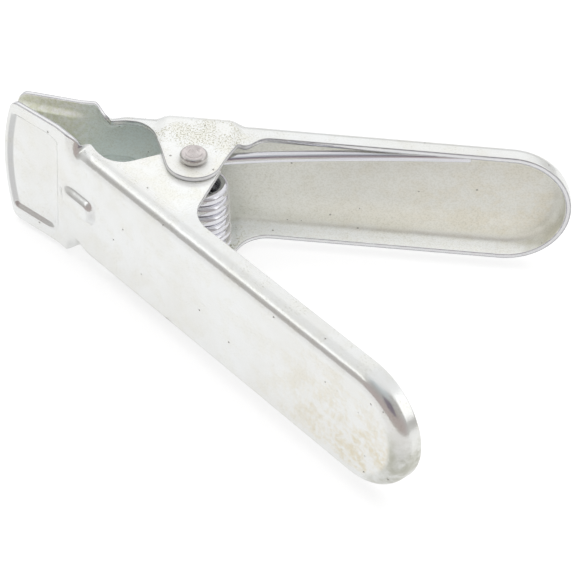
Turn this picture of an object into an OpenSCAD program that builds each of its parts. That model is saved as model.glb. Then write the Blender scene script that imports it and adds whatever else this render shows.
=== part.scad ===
// Spring clamp: two pressed-steel levers that turn on one rivet and are held shut by a torsion spring.
// The pivot axis is vertical. The jaws point to -X and the handles to +X, one lever on each side of
// the XZ plane. The origin lies under the middle of the clamp, at the level of the lower rivet head.

/* [Sheet steel] */
// Thickness of the pressed sheet
sheet_t = 1.1; // [0.8:0.1:1.5]
// Outside radius of the bend between a web and its flanges
bend_r = 2.8; // [2:0.1:4]

/* [Handles] */
// Width of a lever's channel over its flanges
handle_w = 25; // [22:0.5:32]
// Length of a handle from the pivot to its round end
handle_len = 72.4; // [60:1:90]
// Depth of a handle's flanges from the outer face of the web
flange_h = 4.8; // [4:0.5:7]
// Distance of the pivot axis from the outer face of the web
pivot_h = 14.6; // [13:0.2:17]

/* [Neck] */
// Distance from the pivot back to the fold between web and jaw
fold_len = 22.8; // [20:0.5:28]
// Distance from the pivot back to the front end of the neck's flanges
neck_len = 17.2; // [14:0.5:19]
// Depth of the neck's flanges from the outer face of the web
neck_flange_h = 3; // [2.5:0.5:5]
// Length along the lever of the slope from the jaw's edge to the neck
shoulder_len = 2.9; // [2:0.1:3.5]

/* [Jaws] */
// Length of a jaw plate from the fold to the tip
jaw_len = 13.5; // [12:0.5:22]
// Width of a jaw plate
jaw_w = 28.4; // [26:0.2:36]
// Angle by which a jaw is folded outward from its web
jaw_bend = 8.3; // [4:1:12]
// Inside radius of that fold
fold_r = 4; // [2:0.5:8]
// Radius of the crowned tip edge
tip_crown_r = 45; // [30:1:80]
// Radius of the jaw's tip corners
tip_corner_r = 2.2; // [1:0.5:4]

/* [Grip panels] */
// Depth to which the grip panel is pressed inward
panel_depth = 0.75; // [0.5:0.05:1.2]
// Margin between the panel and the tip edge
panel_tip_margin = 0.85; // [0.6:0.05:3]
// Margin between the panel and the jaw's side edges
panel_side_margin = 2.5; // [2:0.1:5]
// Width of the panel's sloped walls
panel_slope = 0.8; // [0.4:0.05:1]
// Width of the panel's wall beside the fold
panel_end_slope = 2; // [0.8:0.1:2.5]
// Distance that this wall runs past the fold
panel_reach = 0.5; // [0:0.1:1]

/* [Stiffening ribs] */
// Length of the rib pressed outward behind the fold
rib_len = 10.6; // [8:0.2:14]
// Width of the rib at its foot
rib_w = 5.4; // [4:0.2:8]
// Height of the rib over the web
rib_h = 1.2; // [0.6:0.1:1.5]
// Width of the rib's sloped walls
rib_slope = 1.2; // [0.8:0.1:1.5]

/* [Pivot ears] */
// Radius of the ears' round ends
ear_r = 5.2; // [4.5:0.1:7]
// Lean of the ears' front edges
ear_front_lean = 17.5; // [10:0.5:25]
// Lean of the ears' back edges
ear_back_lean = 28; // [15:0.5:35]
// Lean of the back edge of the rear lever's upper ear
notched_lean = 18; // [12:0.5:25]
// Height over the handle's flange of the notch behind that ear
notch_rise = 2.1; // [1.5:0.1:2.5]
// Height over the handle's flange of the nose behind the notch
nose_rise = 2.9; // [2.5:0.1:3.5]
// Distance from the notch to the nose
nose_len = 1.7; // [1.5:0.1:3]
// Length over which the rear lever's channel widens to straddle the front ears
joggle_len = 3.4; // [2.5:0.1:5]
// Distance along the lever from the pivot to the far end of each widening
joggle_reach = 9; // [8:0.1:12]

/* [Rivet] */
// Diameter of the rivet's shank
shank_d = 3.5; // [3:0.1:4]
// Diameter of the rivet's heads
head_d = 5.3; // [5:0.1:8]
// Height of the rivet's heads
head_h = 1.8; // [1:0.1:2.5]

/* [Spring] */
// Diameter of the spring wire
wire_d = 2.2; // [1.8:0.1:2.3]
// Mean diameter of the coil
coil_d = 9.9; // [9.6:0.1:10.4]
// Clearance between neighbouring turns
turn_gap = 0.15; // [0.1:0.05:0.4]
// Whole turns of the coil, besides the part turn between the arms
coil_turns = 6; // [4:1:6]
// Distance of the upper arm's centre line below the upper ears' inner faces
arm_drop = 2; // [1.6:0.1:3]
// Length of the arms from the pivot to their cut ends
arm_len = 52; // [40:1:60]
// Rise of an arm over its end of the coil
arm_rise = 0.6; // [0:0.1:0.8]
// Angle at which an arm leaves the coil, against its web
arm_lead = 12; // [9:0.5:14]
// Offset of the coil's axis towards the handles at the upper arm
coil_offset = 0.35; // [0:0.05:0.6]
// Sideways lean of the coil's axis towards the handles, for each unit of height downward
coil_lean = 0.09; // [0:0.01:0.1]

/* [Fits] */
// Clearance between a front ear and the rear ear beside it
ear_gap = 0.1; // [0.05:0.05:0.3]
// Radial running clearance of the front ears on the rivet
pin_gap = 0.06; // [0.03:0.01:0.1]
// Radial clearance of the rear ears on the rivet
peened_gap = 0.01; // [0.01:0.01:0.02]
// Clearance between the closed jaws
jaw_gap = 0.1; // [0.05:0.05:0.3]
// Clearance between the spring's arms and the webs they bear on
seat_gap = 0.05; // [0.05:0.05:0.2]

/* [Hidden] */
$fn = 48;
cut = 1;                                  // overrun of cutting shapes
bend_steps = 8;                           // straight pieces in a quarter bend
joggle_steps = 5;                         // straight pieces in a widening
corner_step = 8;                          // turn of one straight piece of a rounded corner
crown_steps = 16;                         // straight pieces in the jaw's crowned tip edge
wire_sides = 12;
rings_per_turn = 24;
arm_rings = 14;
arm_climb = 0.3;                          // fraction of an arm over which it climbs
fine_fn = 240;                            // sides of the crown's large circles
end_fn = 96;                              // sides of the handle's round end

neck_corner_r = 1.2;                      // corner at the front end of the neck's flanges
front_fillet_r = 5;                       // fillet between the neck's flange and the ear's front edge
back_fillet_r = 7;                        // fillet between the ear's back edge and the handle's flange
notch_r = 0.3;                            // roundings of the notch and the nose behind a notched ear
nose_r = 1.5;
nose_fillet_r = 4;
shoulder_r = 1;                           // jaw's corner behind the shoulder
neck_inset = 0.3;                         // keeps the jaw plate's edge inside the neck's bend
rim_r = 0.5;                              // rounded rim of a rivet head
ring_r = 1.5;                             // ring pressed into a rivet head by the peening tool
ring_half_w = 0.35;
ring_depth = 0.12;

inner_bend_r = bend_r - sheet_t;
press_offset = sheet_t * tan(22.5);       // how much a pressed wall's other side grows in outline
end_r = handle_w / 2;                     // radius of the handle's round end
end_x = handle_len - end_r;
ear_top = pivot_h + ear_r;
ear_widening = 2 * (sheet_t + ear_gap);   // extra channel width that clears the front ears
rear_ear_z = handle_w / 2 + ear_gap + sheet_t;
jaw_root = [-fold_len - fold_r * sin(jaw_bend), -fold_r * (1 - cos(jaw_bend))];

// The levers turn inward until the first of two edges meets its mirror image in the XZ plane:
// the tip's inner edge, or the edge of the raised side of the grip panel.
function on_jaw(a, n) = [
    jaw_root.x - a * cos(jaw_bend) - n * sin(jaw_bend),
    jaw_root.y - a * sin(jaw_bend) + n * cos(jaw_bend) - pivot_h
];
function closing_angle(p) = atan2(-p.y, -p.x) - asin(jaw_gap / 2 / norm(p));
tip_edge = on_jaw(jaw_len, sheet_t);
panel_edge = on_jaw(jaw_len - panel_tip_margin + press_offset - panel_slope, sheet_t + panel_depth);
lever_angle = min(closing_angle(tip_edge), closing_angle(panel_edge));

// The origin is put under the middle of the closed clamp.
tip_x = min([for (n = [0, sheet_t]) let (p = on_jaw(jaw_len, n)) p.x * cos(lever_angle) + p.y * sin(lever_angle)]);
handle_x = end_x * cos(lever_angle) + (flange_h - pivot_h) * sin(lever_angle) + end_r * cos(lever_angle);
centre_x = (tip_x + handle_x) / 2;
head_top = rear_ear_z + head_h;

// A polygon's corner b between a and c, rounded to radius r.
function unit(v) = v / norm(v);
function corner(a, b, c, r) = let (
    to_a = unit(a - b),
    to_c = unit(c - b),
    half = acos(to_a * to_c) / 2,
    centre = b + unit(to_a + to_c) * r / sin(half),
    start = b + to_a * r / tan(half) - centre,
    finish = b + to_c * r / tan(half) - centre,
    first = atan2(start.y, start.x),
    turn = (atan2(finish.y, finish.x) - first + 540) % 360 - 180,
    steps = max(3, ceil(abs(turn) / corner_step))
) [for (i = [0:steps]) centre + r * [cos(first + turn * i / steps), sin(first + turn * i / steps)]];

// A closed outline from points [x, y, corner radius]. A radius of 0 keeps the corner sharp.
function flat2(p) = [p.x, p.y];
function outline(points) = let (count = len(points)) [
    for (i = [0:count - 1])
        each points[i][2] == 0
            ? [flat2(points[i])]
            : corner(flat2(points[(i + count - 1) % count]), flat2(points[i]),
                     flat2(points[(i + 1) % count]), points[i][2])
];

function arc(centre, r, first, last, steps = bend_steps) = [
    for (i = [0:steps]) centre + r * [cos(first + (last - first) * i / steps), sin(first + (last - first) * i / steps)]
];

// Cross-section of the solid that a channel of width w is pressed round, with corners of radius r
// about the bends' centres: bend_r gives the channel's outside, inner_bend_r its inside.
function core_section(w, h, r) = let (bend_x = w / 2 - bend_r) concat(
    arc([bend_x, bend_r], r, 0, -90),
    arc([-bend_x, bend_r], r, -90, -180),
    [[-bend_x - r, h], [bend_x + r, h]]
);
module channel_section(w, h) {
    difference() {
        polygon(core_section(w, h, bend_r));
        polygon(core_section(w, h + cut, inner_bend_r));
    }
}

// Places a shape drawn across a lever (x across, y away from the web) so that it runs along the lever.
module along(x, length) {
    translate([x, 0, 0]) rotate([0, 90, 0]) linear_extrude(length) children();
}

// Extrudes a side view of a lever over the full width, or a plan view through its depth.
module side_view(width) {
    translate([0, 0, -width / 2]) linear_extrude(width) children();
}
module plan_view(low, high) {
    translate([0, high, 0]) rotate([90, 0, 0]) linear_extrude(high - low) children();
}

// A core whose width changes between stations [x, width], and the channel pressed round it.
module core(stations, h, r) {
    ring = len(core_section(stations[0][1], h, r));
    last = (len(stations) - 1) * ring;
    polyhedron(
        [for (s = stations) each [for (p = core_section(s[1], h, r)) [s[0], p.y, p.x]]],
        concat(
            [[for (i = [0:ring - 1]) i]],
            [for (s = [0:len(stations) - 2], i = [0:ring - 1])
                let (j = (i + 1) % ring, a = s * ring, b = a + ring) [a + j, a + i, b + i, b + j]],
            [[for (i = [ring - 1:-1:0]) last + i]]
        ),
        convexity = 4
    );
}
module widening_channel(stations, h) {
    first = stations[0];
    last = stations[len(stations) - 1];
    difference() {
        core(stations, h, bend_r);
        core(concat([first - [cut, 0]], stations, [last + [cut, 0]]), h + cut, inner_bend_r);
    }
}

// Free edge of the flanges, with the ear: the lines of the ear's edges touch its round end.
function ear_edge(lean, h) = (ear_r + (pivot_h - h) * sin(lean)) / cos(lean);
module flange_outline(notched) {
    back_lean = notched ? notched_lean : ear_back_lean;
    apex_y = pivot_h + ear_r * (cos(ear_front_lean) + cos(back_lean)) / sin(ear_front_lean + back_lean);
    notch_x = ear_edge(back_lean, flange_h + notch_rise);
    polygon(outline(concat(
        [
            [-neck_len, -cut, 0],
            [-neck_len, neck_flange_h, neck_corner_r],
            [-ear_edge(ear_front_lean, neck_flange_h), neck_flange_h, front_fillet_r],
            [ear_edge(back_lean, apex_y), apex_y, ear_r]
        ],
        notched
            ? [
                [notch_x, flange_h + notch_rise, notch_r],
                [notch_x + nose_len, flange_h + nose_rise, nose_r],
                [notch_x + nose_len + nose_rise, flange_h, nose_fillet_r]
            ]
            : [[ear_edge(back_lean, flange_h), flange_h, back_fillet_r]],
        [
            [end_x + cut, flange_h, 0],
            [end_x + cut, -cut, 0]
        ]
    )));
}

// The flanged run of a lever. A rear lever's channel is widened round the pivot, and its upper ear
// has a notch behind it.
module channel(widened) {
    h = ear_top + cut;
    extra = widened ? ear_widening : 0;
    from = -joggle_reach;
    to = joggle_reach;
    intersection() {
        union() {
            along(-neck_len, neck_len - joggle_reach) channel_section(handle_w, h);
            along(joggle_reach, end_x - joggle_reach) channel_section(handle_w, h);
            if (widened)
                widening_channel(concat(
                    [for (i = [0:joggle_steps]) let (f = i / joggle_steps)
                        [from + joggle_len * f, handle_w + extra * f * f * (3 - 2 * f)]],
                    [for (i = [joggle_steps:-1:0]) let (f = i / joggle_steps)
                        [to - joggle_len * f, handle_w + extra * f * f * (3 - 2 * f)]]
                ), h);
            else
                along(from, to - from) channel_section(handle_w, h);
        }
        for (side = [0, 1])
            mirror([0, 0, side]) linear_extrude(handle_w) flange_outline(widened && side == 0);
    }
    translate([end_x, 0, 0])
        rotate([-90, 0, 0])
            rotate([0, 0, -90])
                rotate_extrude(angle = 180, $fn = end_fn)
                    intersection() {
                        channel_section(handle_w, flange_h);
                        square([handle_w, flange_h]);
                    }
}

// The flat jaw plate, its fold and the root that carries it on the web.
module jaw_plate() {
    root_x = -neck_len + shoulder_len;
    shoulder_x = -neck_len - shoulder_len;
    far_x = -fold_len - jaw_len - cut;
    neck_z = handle_w / 2 - neck_inset;
    flat_z = handle_w / 2 - bend_r;
    intersection() {
        side_view(jaw_w + 2 * cut) polygon(concat(
            [[root_x, 0]],
            arc([-fold_len, -fold_r], fold_r, 90, 90 + jaw_bend, 4),
            [for (n = [0, sheet_t]) on_jaw(jaw_len + cut, n) + [0, pivot_h]],
            arc([-fold_len, -fold_r], fold_r + sheet_t, 90 + jaw_bend, 90, 4),
            [[root_x, sheet_t]]
        ));
        plan_view(-jaw_len, jaw_len) polygon(outline([
            [far_x, -jaw_w / 2, 0], [shoulder_x, -jaw_w / 2, shoulder_r], [-neck_len, -neck_z, 0],
            [-neck_len, -flat_z, 0], [root_x, -flat_z, 0], [root_x, flat_z, 0],
            [-neck_len, flat_z, 0], [-neck_len, neck_z, 0], [shoulder_x, jaw_w / 2, shoulder_r],
            [far_x, jaw_w / 2, 0]
        ]));
        translate([jaw_root.x, jaw_root.y, 0])
            rotate([0, 0, jaw_bend])
                plan_view(-jaw_len, jaw_len) tip_outline();
    }
}

// The jaw's end in plan: a crowned edge and round corners that touch it and the jaw's sides. The fold
// is at x = 0. Behind the corners this outline is wider than the jaw.
module tip_outline() {
    corner_z = jaw_w / 2 - tip_corner_r;
    spread = asin(corner_z / (tip_crown_r - tip_corner_r));
    step = 2 * spread / crown_steps;
    crown_x = tip_crown_r - jaw_len;
    corner_x = crown_x - (tip_crown_r - tip_corner_r) * cos(spread);
    wide_z = jaw_w / 2 + cut;
    polygon(concat(
        [[fold_len, -wide_z], [fold_len, wide_z], [corner_x + cut, wide_z]],
        arc([corner_x, corner_z], tip_corner_r, 90, 180 - spread),
        arc([crown_x, 0], tip_crown_r, 180 - spread + step, 180 + spread - step, crown_steps - 2),
        arc([corner_x, -corner_z], tip_corner_r, 180 + spread, 270),
        [[corner_x + cut, -wide_z]]
    ));
}

// A pressed form with sloped walls on its two sides and its back, which meet n = 0 at half_w and at
// back. Its front wall is left to the caller.
module pressed_form(back, front, half_w, height, slope, back_slope) {
    side_run = slope / height;
    back_run = back_slope / height;
    intersection() {
        along(front, back + cut * back_run - front) polygon([
            [-half_w - cut * side_run, -cut], [half_w + cut * side_run, -cut],
            [half_w - slope, height], [slope - half_w, height]
        ]);
        side_view(2 * (half_w + cut * side_run)) polygon([
            [front, -cut], [back + cut * back_run, -cut], [back - back_slope, height], [front, height]
        ]);
    }
}

// The grip panel's form. It grows in outline by grow, and its front wall follows the tip's crown.
module panel_form(grow) {
    r = tip_crown_r - panel_tip_margin + grow;
    intersection() {
        pressed_form(panel_reach + grow, -jaw_len, jaw_w / 2 - panel_side_margin + grow,
                     panel_depth, panel_slope, panel_end_slope);
        translate([tip_crown_r - jaw_len, -cut, 0])
            rotate([-90, 0, 0]) {
                cylinder(cut, r = r, $fn = fine_fn);
                translate([0, 0, cut]) cylinder(panel_depth, r1 = r, r2 = r - panel_slope, $fn = fine_fn);
            }
    }
}

// The rib's form, mirrored to point outward, with a sloped front wall too.
module rib_form(grow) {
    front = -fold_len + rib_slope;
    mirror([0, 1, 0])
        intersection() {
            pressed_form(front + rib_len + grow, front - grow, rib_w / 2 + grow, rib_h, rib_slope, rib_slope);
            side_view(rib_w + 2 * cut) polygon([
                [front - grow, -cut], [front + rib_len + cut, -cut], [front + rib_len + cut, rib_h],
                [front - grow + rib_slope, rib_h], [front - grow, 0]
            ]);
        }
}

// One lever in its own frame: the handle along +X, the pivot axis at x = y = 0, the web on the -Y side.
module lever(widened, bore_r) {
    difference() {
        translate([0, -pivot_h, 0])
            difference() {
                union() {
                    channel(widened);
                    jaw_plate();
                    translate([jaw_root.x, jaw_root.y, 0])
                        rotate([0, 0, jaw_bend])
                            translate([0, sheet_t, 0]) panel_form(press_offset);
                    rib_form(0);
                }
                translate([jaw_root.x, jaw_root.y, 0])
                    rotate([0, 0, jaw_bend])
                        panel_form(0);
                translate([0, sheet_t, 0]) rib_form(-press_offset);
            }
        cylinder(handle_w + 2 * ear_widening, r = bore_r, center = true);
    }
}

module place() {
    translate([-centre_x, 0, head_top]) children();
}

module front_lever() {
    color("gainsboro")
        place() rotate([0, 0, -lever_angle]) lever(false, shank_d / 2 + pin_gap);
}

module rear_lever() {
    color("lightgray")
        place() mirror([0, 1, 0]) rotate([0, 0, -lever_angle]) lever(true, shank_d / 2 + peened_gap);
}

// Shank and two turned heads, each with a rounded rim and a shallow ring left by the peening tool.
module pivot_rivet() {
    head = concat(
        [[0, rear_ear_z], [head_d / 2, rear_ear_z]],
        arc([head_d / 2 - rim_r, head_top - rim_r], rim_r, 0, 90, 5),
        [[ring_r + ring_half_w, head_top], [ring_r, head_top - ring_depth]],
        [[ring_r - ring_half_w, head_top], [0, head_top]]
    );
    color("rosybrown")
        place() {
            cylinder(2 * rear_ear_z + head_h, r = shank_d / 2, center = true);
            for (end = [0, 1])
                mirror([0, 0, end]) rotate_extrude($fn = 64) polygon(head);
        }
}

// The spring's centre line. Both arms are the same curve in their own lever's frame, so that the
// lower arm is the upper one mirrored, and the coil joins them.
arm_z = handle_w / 2 - sheet_t - arm_drop;          // level of the coil's upper end
pitch = wire_d + turn_gap;
leave_angle = 90 + lever_angle + arm_lead;          // where the upper arm leaves the coil
coil_sweep = 360 * (coil_turns + 1) - 2 * leave_angle;
function coil_centre(z) = coil_offset + coil_lean * (arm_z - z);
function coil_point(a) = let (z = arm_z - pitch * a / 360) [
    coil_centre(z) + coil_d / 2 * cos(leave_angle + a),
    coil_d / 2 * sin(leave_angle + a),
    z
];
function turned(p, a) = [p.x * cos(a) - p.y * sin(a), p.x * sin(a) + p.y * cos(a)];

// A point of an arm at fraction f from the coil to its end, side = 1 for the upper arm. In the
// lever's frame the arm starts along arm_lead and is bent by its load until it lies on the web.
// It climbs by arm_rise over its first part.
function arm_point(f, side, start) = let (
    s = turned([start.x, side * start.y], -lever_angle),
    run = arm_len - s.x,
    seat = pivot_h - sheet_t - wire_d / 2 - seat_gap,
    bow = (seat - s.y - run * tan(arm_lead)) / (run * run),
    y = s.y + f * run * tan(arm_lead) + bow * f * f * run * run,
    p = turned([s.x + f * run, y], lever_angle),
    level = 1 - min(1, f / arm_climb)
) [p.x, side * p.y, start.z + side * arm_rise * (1 - level * level)];

spring_line = concat(
    [for (i = [arm_rings:-1:1]) arm_point(i / arm_rings, 1, coil_point(0))],
    [for (a = [0:360 / rings_per_turn:coil_sweep - 1]) coil_point(a)],
    [for (i = [0:arm_rings]) arm_point(i / arm_rings, -1, coil_point(coil_sweep))]
);

// A wire of round section swept along a line that never runs vertically.
module wire(line, d) {
    last = len(line) - 1;
    points = [
        for (i = [0:last]) let (
            t = unit(line[min(i + 1, last)] - line[max(i - 1, 0)]),
            side = unit(cross(t, [0, 0, 1])),
            up = cross(side, t)
        ) for (k = [0:wire_sides - 1]) let (a = 360 * k / wire_sides)
            line[i] + d / 2 * (cos(a) * side + sin(a) * up)
    ];
    polyhedron(points, concat(
        [[for (k = [wire_sides - 1:-1:0]) k]],
        [for (i = [0:last - 1], k = [0:wire_sides - 1])
            let (m = (k + 1) % wire_sides, a = i * wire_sides, b = a + wire_sides) [a + k, a + m, b + m, b + k]],
        [[for (k = [0:wire_sides - 1]) last * wire_sides + k]]
    ), convexity = 10);
}

module torsion_spring() {
    color("darkgray")
        place() wire(spring_line, wire_d);
}

front_lever();
rear_lever();
pivot_rivet();
torsion_spring();
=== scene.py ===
"""Looks of a spring clamp: two zinc-plated pressed-steel levers, one rivet and a torsion spring.

Shapes are worked out in millimetres, from the dimensions that the solids have. A mesh is in metres.
A lever is drawn on its flat sheet, where x runs along it from the pivot, minus towards the jaw, and
s across it from its middle line, the spine. The sheet is then pressed, bent, folded and joggled.
"""
import math

import bmesh
import bpy
import numpy as np
from mathutils import Matrix, Vector


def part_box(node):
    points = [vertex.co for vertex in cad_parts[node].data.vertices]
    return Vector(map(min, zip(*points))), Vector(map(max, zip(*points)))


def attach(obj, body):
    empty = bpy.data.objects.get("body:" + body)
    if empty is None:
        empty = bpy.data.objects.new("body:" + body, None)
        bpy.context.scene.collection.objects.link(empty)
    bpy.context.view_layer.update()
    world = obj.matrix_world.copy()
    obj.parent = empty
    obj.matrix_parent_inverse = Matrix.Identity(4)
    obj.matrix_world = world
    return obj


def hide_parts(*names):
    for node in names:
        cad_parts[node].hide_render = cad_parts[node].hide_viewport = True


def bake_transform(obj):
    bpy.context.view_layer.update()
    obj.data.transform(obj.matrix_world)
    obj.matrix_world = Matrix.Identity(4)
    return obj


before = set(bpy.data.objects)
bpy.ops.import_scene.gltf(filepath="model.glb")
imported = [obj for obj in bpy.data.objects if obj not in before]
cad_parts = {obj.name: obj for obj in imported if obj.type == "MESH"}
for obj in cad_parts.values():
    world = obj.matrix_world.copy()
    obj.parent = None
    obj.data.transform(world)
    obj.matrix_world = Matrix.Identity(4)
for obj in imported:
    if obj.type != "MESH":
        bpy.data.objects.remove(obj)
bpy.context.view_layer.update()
scene = bpy.context.scene

MM = 0.001

# -------- dimensions of the solids, in mm
SHEET_T = 1.1
BEND_R = 2.8  # outside radius between web and flange
HANDLE_W = 25.0
HANDLE_LEN = 72.4  # from the pivot to the round end
FLANGE_H = 4.8  # height of the handle's flanges
PIVOT_H = 14.6  # pivot axis over the web's outer face

# jaw
FOLD_X = -22.8  # fold between web and jaw
FOLD_R = 4.0
JAW_LEN = 13.5
JAW_W = 28.4
JAW_BEND = math.radians(8.3)
CROWN_R = 45.0  # of the tip's edge
TIP_CORNER_R = 2.2

# grip panel pressed into the jaw
PANEL_DEPTH = 0.75
PANEL_TIP_MARGIN = 0.85
PANEL_SIDE_MARGIN = 2.5
PANEL_REACH = 1.3  # past the flat jaw, over the fold
PANEL_SLOPE = 0.7  # run of the wall at the tip, over the sheet
PANEL_SIDE_SLOPE = 0.92  # the same at both sides
PANEL_END_SLOPE = 2.6  # and by the fold
PANEL_SOFT = 0.5  # rounding of a wall's top and foot, as a share of its run

# rib pressed out of the web
RIB_START = -21.6
RIB_LEN = 10.6
RIB_W = 5.4
RIB_H = 1.2
RIB_SLOPE = 1.5  # run of the walls along the rib
RIB_TAPER = 3.0  # run of the end by the jaw
RIB_END_SLOPE = 1.5  # run of the other end
RIB_SOFT = 0.35
PRESS_CORNER = 1.6  # corner radius of both pressed forms, in runs of a wall

# free edge from the jaw's back corner over the step to the neck, and its corners' radii
JAW_BACK_X = -20.1
JAW_BACK_R = 1.2
STEP_X = -17.75
STEP_S = 12.75
STEP_R = 0.35
NECK_X = -16.75
NECK_R = 0.7
NECK_FLANGE_H = 3.0

# bend between web and flange, which opens out between the neck and the flat jaw
BEND_FLAT_X = -20.2
BEND_FULL_X = -16.6
BEND_FLARE = 0.5  # how much wider the bend is next to the jaw
FLARE_FULL_X = -17.5
FLARE_END_X = -13.5

# ears
EAR_R = 5.2
EAR_GAP = 0.1  # between one lever's ear and the other's
FRONT_LEAN = math.radians(17.5)  # lean of an ear's edge on the jaw's side
BACK_LEAN = math.radians(28.0)  # lean of its edge on the handle's side
NOTCHED_LEAN = math.radians(18.0)  # the same over the rear lever's notch
FRONT_FOOT_R = 5  # where these edges run into the flange
BACK_FOOT_R = 7
NOTCH_RISE = 2.7  # of the notch's floor over the flange's edge
NOTCH_R = 0.8
NOSE_RISE = 2.9
NOSE_LEN = 1.7
NOSE_R = 1.5
NOSE_FOOT_R = 4
JOGGLE_LEN = 3.4
JOGGLE_REACH = 9.0  # from the pivot to the joggle's far end

# rivet
SHANK_R = 1.75
HEAD_R = 2.65
HEAD_H = 1.8
FRONT_BORE_R = SHANK_R + 0.06  # turns on the shank
REAR_BORE_R = SHANK_R + 0.01  # holds the shank

# spring
WIRE_R = 1.1
WIRE_BEVEL = 0.12  # of the wire's cut ends
COIL_R = 4.95
PITCH = 2.35
COIL_TURNS = 6
COIL_OFFSET = 0.8  # of the coil's top from the pivot axis
COIL_LEAN = 0.09  # of its axis, in mm for each mm down
ARM_LEN = 52.0  # from the pivot to an arm's end
ARM_DROP = 2.0  # from the flange's inside to the upper arm's centre line
ARM_RISE = 0.6  # of an arm towards its flange
ARM_RISE_SHARE = 0.3  # of the arm, over which it rises
ARM_LEAD = math.radians(12.0)  # between an arm's start and its lever
SEAT_GAP = 0.05  # between an arm's end and the web

END_R = HANDLE_W / 2
END_X = HANDLE_LEN - END_R
HALF_FLAT = HANDLE_W / 2 - BEND_R  # half width of the flat web
BEND_LEN = BEND_R * math.pi / 2  # developed length of the quarter bend's outside
JOGGLE = SHEET_T + EAR_GAP  # by which a rear lever's flanges stand out at the ears
PRESS_OFFSET = SHEET_T * math.tan(math.pi / 8)  # by which a pressed wall moves on the inner face
REAR_EAR_Z = HANDLE_W / 2 + EAR_GAP + SHEET_T
FOLD_ARC = FOLD_R * JAW_BEND
X_TIP = FOLD_X - FOLD_ARC - JAW_LEN  # developed place of the tip

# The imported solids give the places: the levers' angle is found from the handle's reach.
FRONT_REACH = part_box("front_lever")[1][0] / MM
rivet_low, rivet_high = (np.array(c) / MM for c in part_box("pivot_rivet"))
CENTRE_X = -(rivet_low[0] + rivet_high[0]) / 2
MID_Z = (rivet_low[2] + rivet_high[2]) / 2
PIVOT = np.array([-CENTRE_X, 0, MID_Z])


def lever_angle():
    """The angle at which the handle's round end reaches the solid's highest x."""
    low, high = math.radians(10), math.radians(35)
    for _ in range(50):
        mid = (low + high) / 2
        reach = (END_X + END_R) * math.cos(mid) + (FLANGE_H - PIVOT_H) * math.sin(mid) - CENTRE_X
        low, high = (mid, high) if reach > FRONT_REACH else (low, mid)
    return mid


LEVER_ANGLE = lever_angle()

# -------- resolution of the meshes
ROWS = 72  # from a lever's spine to its edge
LOW_ROWS = (0, 22, 30, 56, ROWS)  # rows on spine, rib's side, bend's start and end, and edge
EAR_ROWS = (0, 14, 30, 50, 60, ROWS)  # at an ear: spine, bend's start and end, bore, edge
HOLE_ROWS = EAR_ROWS[3:5]  # rows between which a bore lies
BORE_BLOCK = 3.4  # half width of the grid's block that turns round the bore
END_STATIONS = 64  # round the handle's end
EDGE_R = 0.18  # rounding of the sheet's outer cut edge
BURR_R = 0.14  # and of its inner one
WELD = 1e-6  # metres
WIRE_SIDES = 24
WIRE_STEP = 0.6  # from ring to ring, near enough for the wire's marks
RIVET_SIDES = 96


def smooth(x, a, b):
    """0 before a, 1 after b, and an even ease between them."""
    t = np.clip((x - a) / (b - a), 0, 1)
    return t * t * (3 - 2 * t)


def ramp(t, soft):
    """A straight ramp from 0 at t = 0 to 1 at t = 1, rounded over a length soft at both ends."""
    def area(v):
        return np.where(v < 0, 0, np.where(v < 1, v * v / 2, v - 0.5))
    return (area(t + soft / 2) - area(t - soft / 2)) / soft


def unit(v):
    """v at a length of 1."""
    return np.asarray(v, float) / np.linalg.norm(v)


# -------- outline on the flat sheet
def corner(before, at, after, r, step=math.radians(4)):
    """Points of the arc of radius r that rounds the corner at between its neighbours."""
    before, at, after = (np.asarray(p[:2], float) for p in (before, at, after))
    to_a, to_c = unit(before - at), unit(after - at)
    half = math.acos(to_a @ to_c) / 2
    centre = at + unit(to_a + to_c) * r / math.sin(half)
    start = at + to_a * r / math.tan(half) - centre
    finish = at + to_c * r / math.tan(half) - centre
    first = math.atan2(start[1], start[0])
    turn = (math.atan2(finish[1], finish[0]) - first + math.pi) % (2 * math.pi) - math.pi
    angles = first + turn * np.linspace(0, 1, max(3, math.ceil(abs(turn) / step)) + 1)
    return centre + r * np.stack([np.cos(angles), np.sin(angles)], 1)


def outline(points):
    """An open outline through points (x, s, corner radius)."""
    line = [np.array([points[0][:2]])]
    for before, at, after in zip(points, points[1:], points[2:]):
        line.append(corner(before, at, after, at[2]))
    line.append(np.array([points[-1][:2]]))
    return np.vstack(line)


def normals(line):
    """Unit normals on the left of a polyline."""
    t = np.gradient(line, axis=0)
    n = np.stack([-t[:, 1], t[:, 0]], 1)
    return n / np.linalg.norm(n, axis=1)[:, None]


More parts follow.
